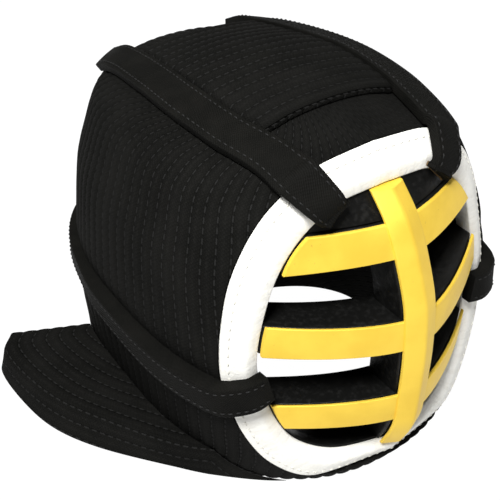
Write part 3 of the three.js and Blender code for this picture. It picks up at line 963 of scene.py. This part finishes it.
# %% The crown straps
STRAP_CLEAR = 2.5 * GAP
STRAP_FRONT = table(
    "inner_across inner_edge outer_across outer_edge",
    (1, 1.14, 1, 1.65),
    (0.4, 1.12, 0.4, 1.65),
    (0.26, 1.08, 0, 1.61),
    (0.14, 1.06, -0.24, 1.565),
)
STRAP_ROWS = 15
STRAP_COLUMNS = 9
ROWS_BETWEEN = 6
STRAP_SEAM = 0.13
LIFT_FADE = 8
RAW_ROWS = 7
RAW_LOW = 0.2
RAW_OVER = 0.3


def rim_point(t, across):
    x, y, z = face_point(t, across)
    return (x, y - ridge_rise(across), z)


def strap_grid():
    """Places under the strap on the +X side, from its back end over the crown to its tip."""
    over = []
    for y in np.linspace(STRAP_PATH[0]["y"], STRAP_PATH[-1]["y"], STRAP_ROWS):
        x, slant = strap_at["x"](y), strap_at["slant"](y)
        wide = math.sqrt(STRAP_WIDTH**2 - slant**2)
        places = [(x + s * wide, y - s * slant) for s in np.linspace(-0.5, 0.5, STRAP_COLUMNS)]
        over.append([on_hood(*place) for place in places])
    down = []
    for row in STRAP_FRONT:
        at = np.linspace(row["inner_edge"], row["outer_edge"], STRAP_COLUMNS)
        across = np.linspace(row["inner_across"], row["outer_across"], STRAP_COLUMNS)
        down.append([rim_point(t, a) for t, a in zip(at, across)])
    return smooth_rows(over + down, ROWS_BETWEEN)


def strap_lift(grid):
    """How far the strap's top is raised, so that it doesn't lean as much as the hood under it."""
    lifts = []
    for row in grid:
        y = row[0, 1]
        fade = np.clip((y - STRAP_PATH[-1]["y"]) / LIFT_FADE, 0, 1)
        lifts.append(strap_at["level"](y) * (row[0, 2] - row[:, 2]) * fade)
    return np.array(lifts)


places = strap_grid()
lift = strap_lift(places)
section = strap_section(STRAP_WIDTH, STRAP_THICK - STRAP_CLEAR, top=0.9, foot=0.7)
strap_right = ribbon("crown_strap_right_twill", places, STRAP_CLEAR, STRAP_THICK, section, lift)
dress_both(strap_right, twill, "crown_strap", sharp=45)
core_section = strap_section(STRAP_WIDTH, STRAP_CLEAR, top=0.3, foot=0.3)
core_right = ribbon(
    "crown_strap_right_core", places[-RAW_ROWS:], RAW_LOW, STRAP_CLEAR + RAW_OVER, core_section
)
dress_both(core_right, raw_edge, sharp=45)
strap_seams = [seam(places, place, STRAP_THICK, lift) for place in (STRAP_SEAM, 1 - STRAP_SEAM)]
thread_right = stitches("crown_strap_right_stitches", strap_seams)
dress_both(thread_right, dark_thread, sharp=80)

# %% [markdown]
# ## The rim
#
# The rim is leather drawn over a core, with a ridge nearer to its inner edge. Its section has five
# corners, each turned into an arc of its own radius: wide on the ridge and the outer edge, where
# the leather is drawn over padding, and tight behind. White stitches run along its outer edge.

# %% The rim
RIM_SEAM = 0.82
RIM_SOFT = (1.3, 2.6, 2.2, 0.7, 0.8)


def rim_front(across):
    line = face_outline(across)
    return with_y(line, line[:, 1] - ridge_rise(across))


def face_rim():
    inner, ridge, outer = rim_front(0), rim_front(RIDGE_IN), rim_front(1)
    edge = with_y(outer, outer[:, 1] + RIM_EDGE)
    behind = with_y(inner, rim_back(inner, outer))
    corners = np.stack([inner, ridge, outer, edge, behind], axis=1)
    return loft("face_rim_leather", [softened(ring, RIM_SOFT) for ring in corners], joined=True)


dress(face_rim(), leather, ["face_rim"], sharp=70)
line = rim_front(RIM_SEAM)
line = np.r_[line, line[:1]]
forward = np.tile((0, -1.0, 0), (len(line), 1))
rim_thread = stitches("face_rim_stitches", [(line, forward)], pitch=6.0, size=4.0, thick=1.1)
dress(rim_thread, pale_thread, sharp=80)

# %% [markdown]
# ## The grille
#
# Three broad bars cross a crested upright. The gilded facing and the black core behind it follow
# the same bowed front, which falls away from the middle to the rim. Bars and upright are lofted
# with soft edges, joined into one body, and trimmed by the outline of the opening.

# %% The grille's forms
GRILLE_PROFILE = table(
    "z y",
    (215, -104),
    (209, -110.5),
    (194, -125.8),
    (176, -136.8),
    (137, -151),
    (98, -154),
    (56, -153.2),
    (23, -142.5),
    (10, -134),
)
BARS = table(
    "low high low_end high_end",
    (175, 193.5, 172.5, 193.5),
    (115, 136.5, 118.5, 140),
    (55.5, 77.5, 57, 77.5),
)
GRILLE_FALL = 1.5
BAR_DEPTH = 30
BAR_REACH = 1.02
BAR_STEPS = 110
UPRIGHT_HALF = 12
UPRIGHT_STEPS = 90
UPRIGHT_LOW = 20
UPRIGHT_HIGH = 210
CORE_LOW = 14
KEEL_RISE = 5.5
CREST_DIP = 2
FACING = 2.6
FACING_LIP = 0.8
CORE_BEHIND = 1.2
FRAME_SHOW = 1.6
FRAME_DEPTH = 30
grille_middle = column(GRILLE_PROFILE, "z", "y")
side_rows = [dict(row, z=row["inner_z"] + (0.5 if row["at"] == 0 else 0)) for row in FACE_ROWS]
side_x = column(side_rows, "z", "inner_x")
side_y = column(side_rows, "z", "inner_y")


def grille_front(across, z):
    """The grille's front at a height, from the middle (0) to the rim (1)."""
    middle = grille_middle(z)
    return mix(middle, max(side_y(z), middle), abs(across) ** GRILLE_FALL)


def bar(row, lip, near, far, soft):
    """A bar right across, between two distances behind the grille's front."""
    tall = row["high"] - row["low"] - 2 * lip
    outline = strap_section(tall, far - near, foot=soft, top=soft, flat=1)
    rings = []
    for across in np.linspace(-1, 1, BAR_STEPS + 1):
        low = mix(row["low"], row["low_end"], across**2) + lip
        high = mix(row["high"], row["high_end"], across**2) - lip
        ring = []
        for up, deep in outline:
            z = mix(low, high, up)
            x = across * side_x(z) * BAR_REACH
            ring.append((x, grille_front(across, z) + mix(near, far, deep), z))
        rings.append(ring)
    return loft("bar", rings)


def upright(name, low, high, half, near, far, rise, soft):
    """The upright, whose crest stands further forward than its edges by rise."""
    rings = []
    for z in np.linspace(low, high, UPRIGHT_STEPS + 1):
        y = grille_middle(z)
        corners = [(-half, near), (0, near - rise), (half, near), (half, far), (-half, far)]
        rings.append(rounded([(x, y + d, z) for x, d in corners], soft))
    return loft(name, rings)


def trimmed(body, others=()):
    """A body with others joined to it, cut off at the rim's inner edge with a gap."""
    for other in others:
        combine(body, other, "UNION")
    ring = face_outline(0, -GAP)
    inside = loft("inside", [with_y(ring, FAR_FRONT), with_y(ring, -FAR_FRONT)])
    return combine(body, inside, "INTERSECT")


def grille_facing():
    bars = [bar(row, 0, -FACING, 0, 0.8) for row in BARS]
    span = UPRIGHT_LOW, UPRIGHT_HIGH, UPRIGHT_HALF
    keel = upright("grille_gilding", *span, FACING_LIP - FACING, FACING_LIP, KEEL_RISE, 0.08)
    return trimmed(keel, bars)


def grille_core():
    far = CORE_BEHIND + BAR_DEPTH
    bars = [bar(row, FACING_LIP, CORE_BEHIND, far, 1.0) for row in BARS]
    half = UPRIGHT_HALF - FACING_LIP
    head = BARS[0]["high"] - 2 * FACING_LIP
    near = CORE_BEHIND + 2 * FACING_LIP
    post = upright("grille_lacquer", CORE_LOW, head, half, near, BAR_DEPTH, -CREST_DIP, 0.05)
    trimmed(post, bars)
    outer, inner = face_outline(0, FRAME_WALL), face_outline(0, -FRAME_SHOW)
    front = rim_back(outer, face_outline(1)) + GAP
    back = outer[:, 1] + FRAME_DEPTH
    corners = [with_y(outer, front), with_y(outer, back), with_y(inner, back), with_y(inner, front)]
    rings = [rounded(ring, 0.12) for ring in np.stack(corners, axis=1)]
    return combine(post, loft("ring", rings, joined=True), "UNION")


dress(grille_facing(), gilt, ["grille_facing"])
dress(grille_core(), black, ["grille_frame"])

# %% [markdown]
# ## The brow plate
#
# A thin black plate closes the opening above the top bar. It is bowed as the grille is, so it is
# lofted on the same front, set back behind it.

# %% The brow plate
PLATE_TOP = 211
PLATE_REACH = 1.1
PLATE_SET_BACK = 2.2
PLATE_THICK = 3
PLATE_LEVELS = 7
PLATE_NARROWEST = 30


def brow_plate():
    low = BARS[0]["high"] + GAP
    levels = np.linspace(low, PLATE_TOP, PLATE_LEVELS)
    rings = []
    for t in np.linspace(-1, 1, BAR_STEPS + 1):
        x = t * side_x(low) * PLATE_REACH
        front = []
        for z in levels:
            across = min(1, abs(x) / max(side_x(z), PLATE_NARROWEST))
            front.append((x, grille_front(across, z) + PLATE_SET_BACK, z))
        back = [(px, py + PLATE_THICK, pz) for px, py, pz in front[::-1]]
        rings.append(front + back)
    return trimmed(loft("brow_plate_lacquer", rings))


dress(brow_plate(), black, ["brow_plate"])

# %% [markdown]
# ## The strap round the hood
#
# A strap stands on edge round the sides and the back, and its ends hook over the rim. Its path is
# the hood's own ring, with three places on the rim at each end. It sinks and thickens towards the
# front, so its foot and thickness come from a table.

# %% The strap round the hood
BAND_LOW = 85.5
BAND_HIGH = 103.5
BAND_ROUND = table(
    "y low thick",
    (-98, 82, 10),
    (-60, 82.5, 10.2),
    (-20, 84, 9.8),
    (20, 85, 9.4),
    (60, 86.5, 6.6),
    (95, 87.5, 6),
)
BAND_HOOK = table(
    "across low high thick",
    (-0.04, 85, 105, 7.4),
    (0.45, 83.4, 104.4, 7.8),
    (1.04, 82, 103, 8.8),
)
BAND_RING = 200
BAND_SEAM = 0.16


def rim_at(z, across):
    """The place on the front of the rim at a height, on the +X side."""
    return rim_point(halve(lambda t: rim_point(t, across)[2] > z, 2, 7), across)


def band_path():
    """Rows of foot, head and thickness, from the right hook round the back to the left hook."""
    rows = []
    for hook in BAND_HOOK:
        ends = []
        for z in (hook["low"], hook["high"]):
            x, y, _ = rim_at(z, hook["across"])
            ends += [x, y - 3 * GAP, z]
        rows.append(ends + [hook["thick"]])
    foot, head = (plan_ring(hood_at, z, BAND_RING, 2 * GAP) for z in (BAND_LOW, BAND_HIGH))
    at = columns(BAND_ROUND, "y")
    foot[:, 2] = [at["low"](y) for y in foot[:, 1]]
    ring = np.c_[foot, head, [at["thick"](y) for y in foot[:, 1]]]
    first = BAND_ROUND[0]["y"]
    rows += sorted((list(p) for p in ring if p[0] > 1 and p[1] > first), key=lambda p: p[1])
    rows += [list(p) for p in ring if abs(p[0]) <= 1 and p[1] > 0]
    rows = np.array(rows)
    other = rows[-2::-1] * (-1, 1, 1, -1, 1, 1, 1)
    return rounded(np.r_[rows, other], 0.2, closed=False)


band_rows = band_path()
band_grid = band_rows[:, :6].reshape(-1, 2, 3)
band_section = strap_section(BAND_HIGH - BAND_LOW, BAND_ROUND[0]["thick"], top=1.2, foot=0.6)
band = ribbon("side_band_twill", band_grid, -GAP - PUFF, band_rows[:, 6], band_section)
dress(band, twill, ["side_band"], sharp=50)
band_seams = [seam(band_grid, place, band_rows[:, 6]) for place in (BAND_SEAM, 1 - BAND_SEAM)]
dress(stitches("side_band_stitches", band_seams), dark_thread, sharp=80)

# %% [markdown]
# ## The shoulder flaps
#
# Each flap is a stiff quilted slab that starts in a thin tongue by the chin and widens to the back.
# Its sections run from the free edge in to the hood, and the rows of stitches follow the edge.

# %% The shoulder flaps
FLAP_HEIGHT = 21.5
FLAP_EDGE = table(
    "top_x top_y foot_x foot_y",
    (40, -132, 44, -132.5),
    (76, -110, 78, -113.5),
    (109, -82, 110, -85.5),
    (130, -58, 134, -59),
    (157, -14, 165, -19),
    (174, 20, 183, 16),
    (183.5, 58, 190.5, 54),
    (185, 91, 191, 91),
    (175, 106, 180, 107),
)
FLAP_AIM_FRONT = (20, -60)
FLAP_AIM_BACK = (124, 84)
FLAP_FINE = 12
FLAP_STEPS = 120
FLAP_ACROSS = 40
FLAP_GAP = 2 * GAP
FLAP_TURN = 0.9
FLAP_CORNER = 3.0
FLAP_FOOT = 0.4


def to_hood(start, aim, z):
    """Where the way from a place towards an aim meets the hood, with a gap."""
    return mix(start, aim, halve(lambda t: beyond_hood(*mix(start, aim, t), z, FLAP_GAP), 0, 1))


def flap_rings():
    edges = np.array([list(row.values()) for row in FLAP_EDGE], float)
    top, foot = (
        resample(smooth_rows(edge, FLAP_FINE), FLAP_STEPS) for edge in (edges[:, :2], edges[:, 2:])
    )
    aims = np.array([FLAP_AIM_FRONT, FLAP_AIM_BACK], float)
    rings = []
    for t, upper, lower in zip(np.linspace(0, 1, FLAP_STEPS), top, foot):
        if not beyond_hood(*lower, 0, FLAP_GAP):
            continue
        aim = mix(*aims, t**1.5)
        if t > FLAP_TURN:
            aim = mix(upper, aim, mix(1.0, 1.6, (t - FLAP_TURN) / (1 - FLAP_TURN)))
        # Near the chin the hood leans out over the flap, so the free edge stops where it meets it.
        side = halve(lambda h: beyond_hood(*mix(lower, upper, h), h * FLAP_HEIGHT, FLAP_GAP), 0, 1)
        head, height = mix(lower, upper, side), side * FLAP_HEIGHT
        ends = to_hood(head, aim, height), to_hood(lower, aim, 0)
        rings.append(flap_section(head, lower, *ends, height))
    return rings


def flap_section(upper, lower, upper_root, lower_root, height):
    """From the hood out along the floor, up the free edge and back in over the quilted top."""
    width = max(np.linalg.norm(upper - upper_root), 1e-6)
    corner = min(FLAP_CORNER, width / 3, height / 3)
    inward = (upper_root - upper) / width
    foot = corner * FLAP_FOOT
    ring = [(*lower_root, 0), (*mix(lower_root, lower, 0.5), 0), (*(lower + inward * foot), 0)]
    ring.append((*lower, foot))
    ring += [(*mix(lower, upper, h), h * height) for h in (0.3, 0.55, 0.8)]
    for angle in np.radians((20, 45, 70, 90)):
        place = upper + inward * corner * (1 - math.cos(angle))
        ring.append((*place, height - corner * (1 - math.sin(angle))))
    for t in np.linspace(0, 1, FLAP_ACROSS + 1)[1:]:
        inset = mix(corner, width, t)
        depth = PUFF * (1 - swell(inset / ROW)) * min(1, width / (3 * ROW))
        ring.append((*(upper + inward * inset), height - depth))
    # The map counts from the free edge, so that the finish sews along the valleys.
    run, first = lengths(np.array(ring + ring[:1])), len(ring) - FLAP_ACROSS - 1
    run += corner - run[first]
    run[first:-1] = np.linspace(corner, width, FLAP_ACROSS + 1)
    return ring, run


rings, across = zip(*flap_rings())
flap_right = loft("shoulder_flap_right_quilt", rings, across_at=across)
for made in dress_both(flap_right, cotton, "shoulder_flap", sharp=55):
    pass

# %% [markdown]
# ## Floor and light
#
# The mask lies on a floor that glows, like a light table, so that its own shadows stay soft and the
# view through the grille comes out white. The floor itself is dark, since a pale one would throw
# the lamps' light back up and wash out the blacks and the gold. A key lamp high on the left and a
# weak one from the right model the forms, and a dim world fills the shadows.

# %% The floor
FLOOR_SIZE = 40.0
FLOOR_GLOW = 1.0
FLOOR_DROP = -0.5 * MM


def pale_floor():
    finish = Finish("pale_floor")
    shade = blend(finish, clouds(finish, 40.0), (0.03, 0.03, 0.03), (0.05, 0.05, 0.05))
    return finish.surface(
        Base_Color=shade, Roughness=0.9, Emission_Color=(1, 1, 1), Emission_Strength=FLOOR_GLOW
    )


bpy.ops.mesh.primitive_plane_add(size=FLOOR_SIZE, location=(0, 0, FLOOR_DROP))
floor = bpy.context.object
floor.name = "floor"
floor.data.materials.append(pale_floor())
print("floor", FLOOR_SIZE, "m")

# %% The lamps and the world
LAMPS = table(
    "name azimuth elevation distance size power",
    ("key", -54, 60, 1.6, 0.5, 42),
    ("top", 100, 75, 1.7, 1.2, 8),
)
WORLD_LIGHT = 0.1


def area_lamp(name, size, power, **place):
    data = bpy.data.lights.new(name, "AREA")
    data.shape, data.size, data.energy = "DISK", size, power
    aimed(name, data, **place)


for row in LAMPS:
    area_lamp(**row)
world = bpy.data.worlds.new("studio")
world.use_nodes = True
background = world.node_tree.nodes["Background"]
background.inputs["Color"].default_value = (1, 1, 1, 1)
background.inputs["Strength"].default_value = WORLD_LIGHT
bpy.context.scene.world = world
bpy.context.scene.view_settings.view_transform = "Standard"
print("lamps", [row["name"] for row in LAMPS])
